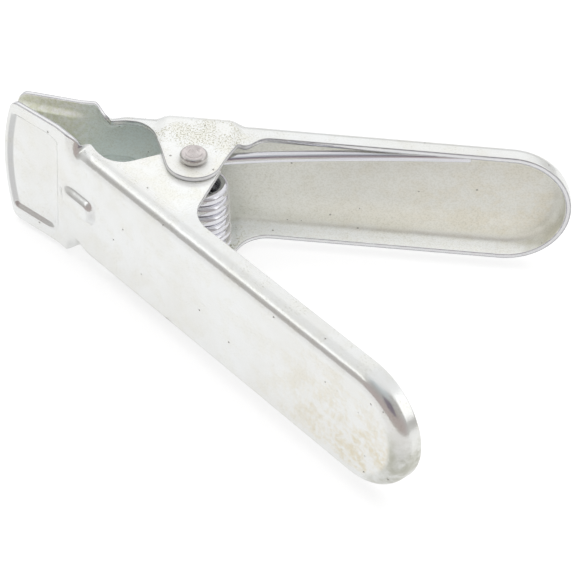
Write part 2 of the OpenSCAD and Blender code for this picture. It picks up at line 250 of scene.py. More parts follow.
def side_edge(notched):
    """Free edge of a lever's side as (x, s), with the joggle left out. It is drawn in by the edge's
    rounding."""
    level = HALF_FLAT + BEND_LEN - BEND_R  # s of a point of the flange at height 0
    back = NOTCHED_LEAN if notched else BACK_LEAN

    def lean_x(lean, height):
        return (EAR_R + (PIVOT_H - height) * math.sin(lean)) / math.cos(lean)

    apex = PIVOT_H + EAR_R * (math.cos(FRONT_LEAN) + math.cos(back)) / math.sin(FRONT_LEAN + back)
    points = [
        (X_TIP, JAW_W / 2),
        (JAW_BACK_X, JAW_W / 2, JAW_BACK_R),
        (STEP_X, STEP_S, STEP_R),
        (NECK_X, level + NECK_FLANGE_H, NECK_R),
        (-lean_x(FRONT_LEAN, NECK_FLANGE_H), level + NECK_FLANGE_H, FRONT_FOOT_R),
        (lean_x(back, apex), level + apex, EAR_R),
    ]
    if notched:
        notch = lean_x(back, FLANGE_H + NOTCH_RISE)
        points += [
            (notch, level + FLANGE_H + NOTCH_RISE, NOTCH_R),
            (notch + NOSE_LEN, level + FLANGE_H + NOSE_RISE, NOSE_R),
            (notch + NOSE_LEN + NOSE_RISE, level + FLANGE_H, NOSE_FOOT_R),
        ]
    else:
        points.append((lean_x(back, FLANGE_H), level + FLANGE_H, BACK_FOOT_R))
    points.append((END_X + 1, level + FLANGE_H))
    line = outline(points)
    fine = np.vstack([
        line[i] + (line[i + 1] - line[i]) * np.linspace(0, 1, 4, endpoint=False)[:, None]
        for i in range(len(line) - 1)
    ] + [line[-1:]])
    return fine - normals(fine) * EDGE_R


def arc(centre_x, centre_s, r, angles):
    """Points (x, s) of an arc whose angles count from the direction of the tip."""
    return np.stack([centre_x - r * np.cos(angles), centre_s + r * np.sin(angles)], 1)


def tip_edge():
    """Half of the tip's edge from the spine to the side, drawn in by the edge's rounding."""
    centre = X_TIP + CROWN_R
    corner_s = JAW_W / 2 - TIP_CORNER_R
    spread = math.asin(corner_s / (CROWN_R - TIP_CORNER_R))
    corner_x = centre - (CROWN_R - TIP_CORNER_R) * math.cos(spread)
    dense = np.vstack([
        arc(centre, 0, CROWN_R - EDGE_R, np.linspace(0, spread, 60)),
        arc(corner_x, corner_s, TIP_CORNER_R - EDGE_R, np.linspace(spread, math.pi / 2, 30)[1:]),
    ])
    steps = np.linalg.norm(np.diff(dense, axis=0), axis=1)
    length = np.concatenate([[0], np.cumsum(steps)])
    at = np.linspace(0, length[-1], ROWS + 1)
    return np.stack([np.interp(at, length, dense[:, 0]), np.interp(at, length, dense[:, 1])], 1)


# -------- from the flat sheet to the lever
def joggle(x, rear):
    """How far the rear lever's flanges stand out beside the pivot."""
    return rear * JOGGLE * smooth(np.abs(x), JOGGLE_REACH, JOGGLE_REACH - JOGGLE_LEN)


def bend_angle(x):
    """The quarter bend, which is nearly 0 on the flat jaw."""
    return np.maximum(math.pi / 2 * smooth(x, BEND_FLAT_X, BEND_FULL_X), 1e-4)


def bend_len(x):
    """Developed length of the bend, which is wider where it opens out."""
    return BEND_LEN * (1 + BEND_FLARE * (1 - smooth(x, FLARE_FULL_X, FLARE_END_X)))


def half_flat(x, rear):
    """Half width of the flat web between the bends."""
    return HALF_FLAT + joggle(x, rear) - (bend_len(x) - BEND_LEN) * 2 / math.pi


def fold_place(x):
    """Place and turn of the outer face at the spine, along the web, the fold and the jaw."""
    turn = np.clip((FOLD_X - x) / FOLD_R, 0, JAW_BEND)
    straight = np.maximum(FOLD_X - x - FOLD_ARC, 0)
    u = np.maximum(x, FOLD_X) - FOLD_R * np.sin(turn) - straight * np.cos(turn)
    n = -FOLD_R * (1 - np.cos(turn)) - straight * np.sin(turn)
    return u, n, turn


def to_lever(x, s, depth, swing, rear):
    """Lever-frame points (along, off the web, across) of sheet points at a depth under the outer
    face. swing turns the half section round the handle's end: 0 is the upper half, pi the lower."""
    flat = half_flat(x, rear)
    length = bend_len(x)
    radius = length / bend_angle(x)
    turned = np.clip(s - flat, 0, length) / radius
    beyond = np.maximum(s - flat - length, 0)
    z = np.minimum(s, flat) + (radius - depth) * np.sin(turned) + beyond * np.cos(turned)
    n = radius - (radius - depth) * np.cos(turned) + beyond * np.sin(turned)
    u0, n0, fold = fold_place(x)
    u = u0 - n * np.sin(fold) + z * np.sin(swing)
    return np.stack([u, n0 + n * np.cos(fold), z * np.cos(swing)], -1)


def to_frame(points, rear):
    """Turns lever-frame points to the lever's angle. The rear lever mirrors the front one."""
    u, n, z = points.T
    n = n - PIVOT_H
    y = n * math.cos(LEVER_ANGLE) - u * math.sin(LEVER_ANGLE)
    x = u * math.cos(LEVER_ANGLE) + n * math.sin(LEVER_ANGLE) - CENTRE_X
    return np.stack([x, -y if rear else y, z + MID_Z], 1)


def pressed_share(walls):
    """How far a sheet point is inside a pressed form, in runs of its wall: 0 where the wall starts
    and 1 where it ends. walls holds the same for each wall by itself. Corners are round."""
    short = np.sqrt(sum(np.maximum(PRESS_CORNER - wall, 0) ** 2 for wall in walls))
    return PRESS_CORNER - short


def pressed(x, s, grow):
    """Depth of the pressed forms at sheet points: the grip panel goes in, the rib goes out. On the
    inner face the panel is larger and the rib smaller by grow."""
    a = FOLD_X - FOLD_ARC - x
    panel = pressed_share((
        (JAW_W / 2 - PANEL_SIDE_MARGIN + grow - s) / PANEL_SIDE_SLOPE,
        (a + PANEL_REACH + grow) / PANEL_END_SLOPE,
        (CROWN_R - PANEL_TIP_MARGIN + grow - np.hypot(a - JAW_LEN + CROWN_R, s)) / PANEL_SLOPE,
    ))
    rib = pressed_share((
        (RIB_W / 2 - grow - s) / RIB_SLOPE,
        (x - RIB_START - grow) / RIB_TAPER,
        (RIB_START + RIB_LEN - grow - x) / RIB_END_SLOPE,
    ))
    foot = ramp(np.clip(rib, -1, 2), RIB_SOFT)
    crest = np.sin(np.clip(foot, 0, 1) * math.pi / 2)
    return PANEL_DEPTH * ramp(panel, PANEL_SOFT) - RIB_H * crest


# -------- the lever's mesh
def station_xs(bore_r):
    """Stations along a lever, from the tip to the round end. Each spacing holds up to its x."""
    spacings = (
        (X_TIP + 3.4, 0.16), (FOLD_X - 3.0, 0.45), (-19.0, 0.2), (-15.0, 0.16), (-12.6, 0.3),
        (-bore_r, 0.26), (bore_r, 0.4), (12.0, 0.26), (16.0, 0.5), (END_X, 3.0),
    )
    xs = [np.array([X_TIP + EDGE_R])]
    for reach, spacing in spacings:
        start = xs[-1][-1]
        count = max(1, round((reach - start) / spacing))
        xs.append(np.linspace(start, reach, count + 1)[1:])
    return np.concatenate(xs)


def row_places(x, top, flat, bore_r):
    """s of each row at stations x, even on the jaw, and gathered on bends, rib and ears."""
    j = np.arange(ROWS + 1)
    top, flat, x = top[:, None], flat[:, None], x[:, None]
    spine = 0 * top
    bend_end = flat + BEND_LEN

    def spread(knots, places):
        """Rows spread evenly between the ones that are knots, which lie at places."""
        out = np.empty((len(x), ROWS + 1))
        for j0, j1, s0, s1 in zip(knots, knots[1:], places, places[1:]):
            part = (j >= j0) & (j <= j1)
            out[:, part] = s0 + (s1 - s0) * (j[part] - j0) / (j1 - j0)
        return out

    even = top * j / ROWS
    rib_side = spine + RIB_W / 2 + 0.7
    low = spread(LOW_ROWS, (spine, rib_side, np.minimum(flat, 0.66 * top),
                            np.minimum(bend_end, 0.9 * top), top))
    # beside the bore the rows keep its size, and farther off they follow the ear's height
    bore_h = PIVOT_H - BEND_R
    fixed = spread(EAR_ROWS, (spine, flat, bend_end, bend_end + bore_h - bore_r,
                              bend_end + bore_h + bore_r, top))
    full = bore_h + EAR_R - EDGE_R
    bend_row = EAR_ROWS[2]
    shares = np.interp(j, EAR_ROWS[2:], (0, (bore_h - bore_r) / full, (bore_h + bore_r) / full, 1))
    scaled = np.where(j <= bend_row, fixed, bend_end + (top - bend_end) * shares)
    away = smooth(np.abs(x), 2.3, 4.4)
    ear = np.where(away >= 1, scaled, fixed * (1 - away) + scaled * away)
    on_jaw = 1 - smooth(x, -24.5, -21.5)
    by_ear = smooth(x, -12.6, -8.6) * (1 - smooth(x, 9, 13))
    return on_jaw * even + (1 - on_jaw) * ((1 - by_ear) * low + by_ear * ear)


def half_grid(notched, rear, bore_r):
    """x and s of the grid's points on one half of a lever, from the tip to the handle's end."""
    xs = station_xs(bore_r)
    edge = side_edge(notched)
    spread = joggle(xs, rear)
    top = np.interp(xs, edge[:, 0], edge[:, 1]) + spread
    s = row_places(xs, top, half_flat(xs, rear), bore_r)
    x = np.repeat(xs[:, None], ROWS + 1, 1)
    tip = tip_edge()
    near_tip = (1 - smooth(xs, X_TIP + 2.6, X_TIP + 14))[:, None]
    x = x + (tip[:, 0] - tip[0, 0]) * near_tip
    s = s * (1 - near_tip) + tip[:, 1] * near_tip
    # round the bore the grid's squares turn into circles
    ds = s - (HALF_FLAT + spread[:, None] + BEND_LEN + PIVOT_H - BEND_R)
    square = np.maximum(np.abs(x), np.abs(ds))
    away = np.maximum(np.hypot(x, ds), 1e-6)
    pull = 1 - smooth(square, bore_r, BORE_BLOCK)
    scale = np.where(square < BORE_BLOCK, 1 + pull * (square / away - 1), 1)
    return x * scale, s + ds * (scale - 1)


def lever_grid(rear, bore_r):
    """x, s and swing of the grid on a whole lever: the upper half from the tip to the handle's end,
    round that end, and back along the lower half."""
    upper_x, upper_s = half_grid(rear, rear, bore_r)
    lower_x, lower_s = half_grid(False, rear, bore_r)
    swings = np.linspace(0, math.pi, END_STATIONS + 1)[1:-1]
    x = np.vstack([upper_x, np.full((len(swings), ROWS + 1), END_X), lower_x[::-1]])
    s = np.vstack([upper_s, np.repeat(upper_s[-1:], len(swings), 0), lower_s[::-1]])
    swing = np.concatenate([np.zeros(len(upper_x)), swings, np.full(len(lower_x), math.pi)])
    return x, s, np.repeat(swing[:, None], ROWS + 1, 1)


def grid_index(i, j):
    """Place of station i's row j among a grid's points."""
    return i * (ROWS + 1) + j


def band(loop, next_loop):
    """Quads between two closed loops that have equally many points."""
    turned = zip(loop, next_loop, next_loop[1:] + next_loop[:1], loop[1:] + loop[:1])
    return [list(quad) for quad in turned]


class LeverSkin:
    """Collects a lever's points, each with its place on the flat sheet, and its faces."""

    def __init__(self, rear):
        self.rear = rear
        self.points = []
        self.sheet = []
        self.faces = []
        self.count = 0

    def add(self, x, s, swing, layer, press=0.0):
        """Adds sheet points at a layer under the outer face, pressed in by press, and returns
        the first one's index."""
        self.points.append(to_lever(x, s, layer + press, swing, self.rear).reshape(-1, 3))
        place = [x + s * np.sin(swing), s * np.cos(swing), np.full(x.shape, float(layer))]
        self.sheet.append(np.stack(place, -1).reshape(-1, 3))
        first = self.count
        self.count += x.size
        return first

    def cover(self, outer, inner, stations, bores):
        """Faces over the outer and the inner grid, but for the cells that a bore takes out."""
        low_j, high_j = HOLE_ROWS
        for i in range(stations - 1):
            by_bore = any(a <= i < b for a, b in bores)
            for j in range(ROWS):
                if by_bore and low_j <= j < high_j:
                    continue
                quad = (grid_index(i, j), grid_index(i + 1, j),
                        grid_index(i + 1, j + 1), grid_index(i, j + 1))
                self.faces.append([outer + q for q in quad])
                self.faces.append([inner + q for q in reversed(quad)])

    def round_edge(self, outer, inner, x, s, swing):
        """The sheet's rounded cut edge, as rings from the outer grid's rim to the inner one's."""
        last = len(x) - 1
        rim = [(0, j) for j in range(ROWS)] + [(i, ROWS) for i in range(len(x))]
        rim += [(last, j) for j in range(ROWS - 1, 0, -1)]
        i, j = np.array(rim).T
        x, s, swing = x[i, j], s[i, j], swing[i, j]
        flat_rim = np.stack([x + s * np.sin(swing), s * np.cos(swing)], 1)
        tangent = np.roll(flat_rim, -1, 0) - np.roll(flat_rim, 1, 0)
        outward = np.stack([-tangent[:, 1], tangent[:, 0]], 1)
        outward /= np.linalg.norm(outward, axis=1)[:, None]
        if outward[1] @ [-1, 0] < 0:
            outward = -outward
        round_end = (swing > 0) & (swing < math.pi)
        dx = np.where(round_end, 0, outward[:, 0])
        ds = outward[:, 0] * np.sin(swing) + outward[:, 1] * np.cos(swing)
        profile = [(EDGE_R * math.sin(a), EDGE_R * (1 - math.cos(a)))
                   for a in np.radians((25, 50, 72, 90))]
        profile += [(EDGE_R - BURR_R * (1 - math.cos(a)), SHEET_T - BURR_R * (1 - math.sin(a)))
                    for a in np.radians((0, 45, 90))]
        ring = [outer + grid_index(*place) for place in rim]
        for offset, layer in profile:
            first = self.add(x + dx * offset, s + ds * offset, swing, layer)
            after = list(range(first, first + len(rim)))
            self.faces += band(ring, after)
            ring = after
        self.faces += band(ring, [inner + grid_index(*place) for place in rim])

    def line_bores(self, outer, inner, bores):
        """The bores' walls."""
        low_j, high_j = HOLE_ROWS
        for a, b in bores:
            loop = [(i, low_j) for i in range(a, b)] + [(b, j) for j in range(low_j, high_j)]
            loop += [(i, high_j) for i in range(b, a, -1)]
            loop += [(a, j) for j in range(high_j, low_j, -1)]
            loop = [grid_index(*place) for place in loop]
            self.faces += band([outer + p for p in loop], [inner + p for p in loop])


def lever_mesh(name, rear, bore_r):
    """A pressed lever as one closed mesh with rounded cut edges."""
    x, s, swing = lever_grid(rear, bore_r)
    stations = len(x)
    over_bore = np.flatnonzero(np.abs(station_xs(bore_r)) < bore_r + 0.001)
    first, last = over_bore[0], over_bore[-1]
    bores = ((first, last), (stations - 1 - last, stations - 1 - first))
    skin = LeverSkin(rear)
    outer = skin.add(x, s, swing, 0, pressed(x, s, 0))
    inner = skin.add(x, s, swing, SHEET_T, pressed(x, s, PRESS_OFFSET))
    skin.cover(outer, inner, stations, bores)
    skin.round_edge(outer, inner, x, s, swing)
    skin.line_bores(outer, inner, bores)
    points = to_frame(np.vstack(skin.points), rear)
    return mesh_object(name, points, skin.faces, np.vstack(skin.sheet))


def add_object(name, data):
    """An object of its own in the scene."""
    obj = bpy.data.objects.new(name, data)
    scene.collection.objects.link(obj)
    return obj


def mesh_object(name, points_mm, faces, sheet_mm):
    """A smooth closed mesh. Its attribute sheet holds each point's place on the metal, which the
    materials read."""
    mesh = bpy.data.meshes.new(name)
    mesh.from_pydata((points_mm * MM).tolist(), [], faces)
    place = mesh.attributes.new("sheet", "FLOAT_VECTOR", "POINT")
    place.data.foreach_set("vector", sheet_mm.astype(np.float32).ravel())
    bm = bmesh.new()
    bm.from_mesh(mesh)
    bmesh.ops.remove_doubles(bm, verts=bm.verts, dist=WELD)
    bmesh.ops.delete(bm, geom=[v for v in bm.verts if not v.link_faces], context="VERTS")
    bmesh.ops.recalc_face_normals(bm, faces=bm.faces)
    for f in bm.faces:
        f.smooth = True
    bm.to_mesh(mesh)
    bm.free()
    return add_object(name, mesh)


def bands(rings, sides):
    """Quads between rings of points that lie one after another, each with so many sides."""
    faces = []
    for i in range(rings - 1):
        for k in range(sides):
            m = (k + 1) % sides
            faces.append([i * sides + k, i * sides + m, (i + 1) * sides + m, (i + 1) * sides + k])
    return faces


# -------- the spring
def spring_line():
    """The wire's centre line, from the upper arm's end down the coil to the lower arm's end. The
    pivot axis is at x = y = 0, and z counts from the rivet's middle."""
    arm_z = HANDLE_W / 2 - SHEET_T - ARM_DROP
    leave = math.pi / 2 + LEVER_ANGLE + ARM_LEAD
    sweep = 2 * math.pi * (COIL_TURNS + 1) - 2 * leave
    turn_steps, arm_steps = 56, 44
    c, sn = math.cos(LEVER_ANGLE), math.sin(LEVER_ANGLE)

    def coil(a):
        z = arm_z - PITCH * a / (2 * math.pi)
        x = COIL_OFFSET + COIL_LEAN * (arm_z - z) + COIL_R * np.cos(leave + a)
        return np.stack([x, COIL_R * np.sin(leave + a), z], -1)

    def arm(f, side, start):
        """The arm from the coil's point start, at shares f of its run, on the side of its lever. It
        bows so that its end lies on the web."""
        su = start[0] * c + side * start[1] * sn
        sv = -start[0] * sn + side * start[1] * c
        run = ARM_LEN - su
        seat = PIVOT_H - SHEET_T - WIRE_R - SEAT_GAP
        bow = (seat - sv - run * math.tan(ARM_LEAD)) / run ** 2
        u = su + f * run
        v = sv + f * run * math.tan(ARM_LEAD) + bow * (f * run) ** 2
        level = 1 - np.minimum(1, f / ARM_RISE_SHARE)
        z = start[2] + side * ARM_RISE * (1 - level ** 2)
        return np.stack([u * c - v * sn, side * (u * sn + v * c), z], -1)

    f = np.linspace(0, 1, arm_steps + 1)[1:]
    middle = coil(np.linspace(0, sweep, round(sweep / (2 * math.pi) * turn_steps) + 1))
    return np.vstack([arm(f[::-1], 1, middle[0]), middle, arm(f, -1, middle[-1])])


def wire_mesh(name, line, r):
    """A round wire along a line, with lightly rounded cut ends."""
    t = np.gradient(line, axis=0)
    t /= np.linalg.norm(t, axis=1)[:, None]
    side = np.cross(t, [0, 0, 1])
    side /= np.linalg.norm(side, axis=1)[:, None]
    up = np.cross(side, t)
    angles = 2 * math.pi * np.arange(WIRE_SIDES) / WIRE_SIDES
    # radius of each ring at a cut end, and how far it stands in from the end
    bevel = WIRE_BEVEL
    end = ((r * 0.45, 0), (r - bevel, 0), (r - bevel * 0.3, bevel * 0.3), (r, bevel))
    stops = [(0, radius, shift) for radius, shift in end]
    stops += [(k, r, 0) for k in range(1, len(line) - 1)]
    stops += [(-1, radius, -shift) for radius, shift in reversed(end)]
    rings = [
        line[k] + t[k] * shift
        + radius * (np.cos(angles)[:, None] * side[k] + np.sin(angles)[:, None] * up[k])
        for k, radius, shift in stops
    ]
    faces = bands(len(rings), WIRE_SIDES)
    faces.append(list(range(WIRE_SIDES)))
    faces.append([(len(rings) - 1) * WIRE_SIDES + k for k in range(WIRE_SIDES)])
    length = np.repeat(np.arange(len(rings)) * WIRE_STEP, WIRE_SIDES)
    around = np.tile(angles * r, len(rings))
    sheet = np.stack([length, around, 0 * around], 1)
    return mesh_object(name, np.vstack(rings) + PIVOT, faces, sheet)


# -------- the rivet
def rivet_mesh(name):
    """The shank, a ring-marked upper head and a plain lower one, with an uneven rim."""
    top = REAR_EAR_Z + HEAD_H
    # radius, and depth under the head's top
    upper = [
        (0.0, 0.20), (0.35, 0.18), (0.62, 0.09), (0.8, 0.04), (0.98, 0.10), (1.14, 0.22),
        (1.32, 0.24), (1.5, 0.13), (1.68, 0.03), (1.86, 0.0), (2.04, 0.02), (2.2, 0.07),
        (2.35, 0.16), (2.48, 0.28), (2.57, 0.42), (2.62, 0.58), (2.64, 0.75), (2.63, 0.92),
        (2.58, 1.1), (2.5, 1.28), (2.4, 1.45), (2.3, 1.62), (2.22, 1.74),
    ]
    lower = [
        (0.0, 0.0), (1.3, 0.01), (1.8, 0.05), (2.15, 0.15), (2.4, 0.32), (2.55, 0.55),
        (2.62, 0.8), (2.65, 1.1), (2.65, 1.35), (2.6, 1.65),
    ]
    rings = [(r, top - down) for r, down in upper]
    rings += [(2.15, REAR_EAR_Z), (SHANK_R, REAR_EAR_Z), (SHANK_R, REAR_EAR_Z - 2)]
    rings += [(SHANK_R, 2 - REAR_EAR_Z), (SHANK_R, -REAR_EAR_Z), (2.5, -REAR_EAR_Z)]
    rings += [(r, up - top) for r, up in reversed(lower)]
    angles = 2 * math.pi * np.arange(RIVET_SIDES) / RIVET_SIDES
    points = []
    for r, z in rings:
        wave = 0.02 * np.sin(3 * angles + 0.7) + 0.012 * np.sin(7 * angles + z)
        uneven = wave * smooth(r, SHANK_R, 2.6) * (SHANK_R + 0.01 < r < 2.6)
        dented = 0.018 * np.sin(2 * angles + 4 * r) * (0 < r < 1.9) * (z > 0)
        rr = np.minimum(r + uneven, HEAD_R)
        points.append(np.stack([rr * np.cos(angles), rr * np.sin(angles), z - np.abs(dented)], 1))
    points = np.vstack(points)
    faces = bands(len(rings), RIVET_SIDES)
    return mesh_object(name, points + PIVOT, faces, points)


front = lever_mesh("front_lever_sheet", False, FRONT_BORE_R)
rear = lever_mesh("rear_lever_sheet", True, REAR_BORE_R)
spring = wire_mesh("spring_wire", spring_line(), WIRE_R)
rivet = rivet_mesh("rivet_turned")


# -------- materials
# Zinc outside, its clouds and grain, its yellow tinge, and painted shade on the panel's wall at the
# tip
ZINC = (0.915, 0.93, 0.93)
ZINC_CLOUD = (0.88, 0.885, 0.865)
ZINC_GRAIN = (0.80, 0.805, 0.795)
ZINC_YELLOW = (0.84, 0.82, 0.70)
# painted shade: a grey that darkens the grip panel's wall at the tip
TIP_WALL_SHADE = (0.68, 0.69, 0.69)
# inside the channel and its patches; painted light on its low part, near the coil and on the lower
# flange; and in the neck
CHANNEL = (0.84, 0.845, 0.80)
CHANNEL_PATCH = (0.81, 0.805, 0.745)
# painted light: lighter tones low on the channel's web, near the coil and on the lower flange
CHANNEL_LOW_LIGHT = (0.95, 0.93, 0.84)
CHANNEL_BY_COIL_LIGHT = (0.93, 0.935, 0.885)
CHANNEL_FLANGE_LIGHT = (0.98, 1.0, 1.0)
NECK_INSIDE = (0.87, 0.95, 0.94)
JAW_INSIDE = (0.93, 0.94, 0.91)
JAW_MOTTLE = (0.80, 0.815, 0.69)
# marks on the zinc; the tarnish is partly painted shade, and the line along a cut edge is painted
# shade
STAIN = (0.76, 0.68, 0.49)
# tarnish, darkened further as painted shade
TARNISH_AND_SHADE = (0.50, 0.50, 0.43)
SPECKLE = (0.45, 0.44, 0.33)
PIT = (0.24, 0.23, 0.20)
CUT_EDGE = (0.87, 0.87, 0.90)
# painted shade along a cut edge's rounding
EDGE_SHADE_LINE = (0.36, 0.36, 0.39)
# wire and rivet
WIRE = (0.90, 0.90, 0.93)
WIRE_LINE = (0.70, 0.70, 0.75)
RIVET = (0.78, 0.73, 0.72)
RIVET_PATCH = (0.66, 0.61, 0.60)
RIVET_GRAIN = (0.52, 0.46, 0.44)
RIVET_RIM = (0.57, 0.56, 0.54)


class Nodes:
    """Adds nodes to a tree. What a node is given may be a value or another node's output."""

    def __init__(self, tree):
        self.tree = tree

    def add(self, kind, inputs=(), **settings):
        """A shader node of this kind, with these settings, and inputs by name or number."""
        node = self.tree.nodes.new("ShaderNode" + kind)
        for key, value in settings.items():
            setattr(node, key, value)
        self.connect(node, dict(inputs))
        return node

    def connect(self, node, inputs):
        for key, value in inputs.items():
            if isinstance(value, bpy.types.NodeSocket):
                self.tree.links.new(value, node.inputs[key])
            else:
                node.inputs[key].default_value = value

    def calc(self, operation, *values):
        inputs = dict(enumerate(values))
        return self.add("Math", inputs, operation=operation).outputs[0]

    def chain(self, operation, first, *others):
        """The operation on the first two values, on what comes of it and the next, and so on."""
        for other in others:
            first = self.calc(operation, first, other)
        return first

    def times(self, *values):
        return self.chain("MULTIPLY", *values)

    def plus(self, *values):
        return self.chain("ADD", *values)

    def highest(self, *values):
        return self.chain("MAXIMUM", *values)

    def minus(self, a, b):
        return self.calc("SUBTRACT", a, b)

    def absolute(self, a):
        return self.calc("ABSOLUTE", a)

    def hypot(self, a, b):
        return self.calc("SQRT", self.plus(self.times(a, a), self.times(b, b)))

    def ease(self, value, low, high, to_low=0.0, to_high=1.0):
        """Eases value from to_low at low to to_high at high."""
        inputs = {"Value": value, "From Min": low, "From Max": high}
        inputs |= {"To Min": to_low, "To Max": to_high}
        return self.add("MapRange", inputs, interpolation_type="SMOOTHSTEP").outputs[0]

    def mix(self, share, a, b):
        """Colour a where share is 0, and b where it is 1."""
        a, b = (colour if isinstance(colour, bpy.types.NodeSocket) else (*colour, 1)
                for colour in (a, b))
        return self.add("Mix", {0: share, 6: a, 7: b}, data_type="RGBA").outputs[2]

    def split(self, vector):
        """The X, Y and Z of a vector."""
        return self.add("SeparateXYZ", {"Vector": vector}).outputs

    def dot(self, vector, way):
        inputs = {0: vector, 1: way}
        return self.add("VectorMath", inputs, operation="DOT_PRODUCT").outputs["Value"]

    def sheet(self):
        """The place on the metal, in mm."""
        return self.add("Attribute", attribute_name="sheet").outputs["Vector"]

    def shifted(self, shift, stretch=(1, 1, 1)):
        """That place moved by a shift, so that no two pieces are marked alike."""
        inputs = {"Vector": self.sheet(), "Location": shift, "Scale": stretch}
        return self.add("Mapping", inputs).outputs[0]

    def noise(self, where, scale, detail, roughness=0.5):
        inputs = {"Vector": where, "Scale": scale, "Detail": detail, "Roughness": roughness}
        return self.add("TexNoise", inputs).outputs["Fac"]

    def bump(self, height, strength, distance):
        inputs = {"Height": height, "Strength": strength, "Distance": distance}
        return self.add("Bump", inputs).outputs[0]


def metal(name):
    """A new metallic material, its nodes and its shader."""
    mat = bpy.data.materials.new(name)
    mat.use_nodes = True
    shader = mat.node_tree.nodes["Principled BSDF"]
    shader.inputs["Metallic"].default_value = 0.95
    return mat, Nodes(mat.node_tree), shader


class Places:
    """Where a point lies on a lever, in mm on the flat sheet. A mask is 1 on its place, else 0."""

    def __init__(self, n):
        self.along, self.up, depth = n.split(n.sheet())
        across = n.absolute(self.up)
        self.across = across
        # inner face, cut edge, and the two lines of painted shade along that edge
        self.inside = n.ease(depth, SHEET_T - 0.16, SHEET_T - 0.02)
        from_middle = n.absolute(n.minus(depth, SHEET_T / 2))
        self.cut = n.ease(from_middle, SHEET_T / 2 - 0.02, SHEET_T / 2 - 0.12)
        self.edge_shade_line = n.times(n.ease(from_middle, 0.2, 0.34), self.cut)
        # both ears, the jaw with its panel's wall, where shade is painted, and the flat web with
        # its part by the end
        by_pivot = n.ease(n.absolute(self.along), 12, 7)
        self.ear = n.times(n.ease(across, 12.5, 16.5), by_pivot)
        self.jaw = n.ease(self.along, -17, -25)
        self.tip_wall_shade = self.tip_wall_shade_mask(n)
        self.past_end = n.highest(n.minus(self.along, END_X), 0.0)
        self.web = n.ease(n.hypot(self.past_end, across), HALF_FLAT + 0.2, HALF_FLAT - 1)
        self.handle_end = n.times(n.ease(self.along, 30, 64), self.web)
        # low on the web, and the lower flange: painted light on both in the channel, and a satin
        # finish on the lower flange
        self.low_band_light = n.times(n.ease(self.up, -2, -7), n.ease(self.up, -11, -9))
        self.low_flange = n.ease(self.up, -11.5, -13.5)

    def tip_wall_shade_mask(self, n):
        """The grip panel's wall at the tip, where shade is painted into the colour."""
        from_crown = n.hypot(n.minus(self.along, X_TIP + CROWN_R), self.across)
        wall_top = CROWN_R - PANEL_TIP_MARGIN
        wall_foot = wall_top - PANEL_SLOPE
        side = JAW_W / 2 - PANEL_SIDE_MARGIN
        return n.times(
            n.ease(from_crown, wall_foot - 0.3, wall_foot),
            n.ease(from_crown, wall_top + 0.15, wall_top - 0.1),
            n.ease(self.across, side, side - 0.6),
            self.jaw,
        )


class Marks:
    """The noises that mark a lever, from the largest to the finest."""

    def __init__(self, n, shift):
        self.where = n.shifted(shift, (1, 1, 12))
        self.cloud = n.noise(self.where, 0.06, 3, 0.55)
        self.patch = n.noise(self.where, 0.22, 6, 0.62)
        self.wave = n.noise(self.where, 0.3, 1)
        self.mottle = n.noise(self.where, 0.9, 5, 0.68)
        self.dots = n.noise(self.where, 3.0, 3, 0.6)
        self.grain = n.noise(self.where, 4.0, 3, 0.6)


def outside_tone(n, on, marks):
    """Clouded and grainy zinc, with painted shade greying the panel's wall at the tip."""
    tone = n.mix(n.ease(marks.cloud, 0.35, 0.65), ZINC, ZINC_CLOUD)
    tone = n.mix(n.ease(marks.grain, 0.35, 0.75, 0, 0.35), tone, ZINC_GRAIN)
    # painted shade on the panel's wall at the tip
    return n.mix(n.times(on.tip_wall_shade, 0.8), tone, TIP_WALL_SHADE)


def inside_tone(n, on, marks):
    """Patched in the channel, with painted light on its low band, by the coil and on the lower
    flange, mottled in the jaw.
    """
    tone = n.mix(n.ease(marks.patch, 0.38, 0.62), CHANNEL, CHANNEL_PATCH)
    # painted light: the channel is lightened low on the web, near the coil and on the lower flange
    tone = n.mix(n.times(on.low_band_light, 0.6), tone, CHANNEL_LOW_LIGHT)
    tone = n.mix(n.ease(on.along, 32, 10), tone, CHANNEL_BY_COIL_LIGHT)
    tone = n.mix(on.low_flange, tone, CHANNEL_FLANGE_LIGHT)
    tone = n.mix(n.ease(on.along, 2, -6), tone, NECK_INSIDE)
    jaw = n.mix(n.ease(marks.mottle, 0.42, 0.60), JAW_INSIDE, JAW_MOTTLE)
    return n.mix(on.jaw, tone, jaw)


def stained_and_shaded(n, on, marks, tone, amount):
    """A yellow tinge all over, a tan stain on the web near the handle's end, and tarnish on the
    bend round that end that is partly painted shade, both mostly on the lower half."""
    yellow = n.ease(marks.patch, 0.46, 0.62, 0.05, 0.42)
    tone = n.mix(n.times(yellow, n.plus(n.times(on.ear, 0.5), 0.4)), tone, ZINC_YELLOW)
    stain = n.plus(n.times(marks.patch, 0.6), n.times(marks.mottle, 0.4))
    stain = n.times(n.ease(stain, 0.43, 0.60, 0.06, 0.75), on.handle_end, amount)
    tone = n.mix(n.times(stain, n.ease(on.up, 7, -3, 0.35, 1)), tone, STAIN)
    # painted shade: the tarnish on the end's bend is darker than its own colour, mostly on the
    # lower half
    tarnish_and_shade = n.times(n.ease(on.past_end, 3, 8), n.minus(1.0, on.web), n.ease(on.up, 7, 0))
    tarnish_and_shade = n.times(tarnish_and_shade, n.ease(marks.patch, 0.36, 0.62, 0.3 * amount, 0.95 * amount))
    return n.mix(tarnish_and_shade, tone, TARNISH_AND_SHADE)


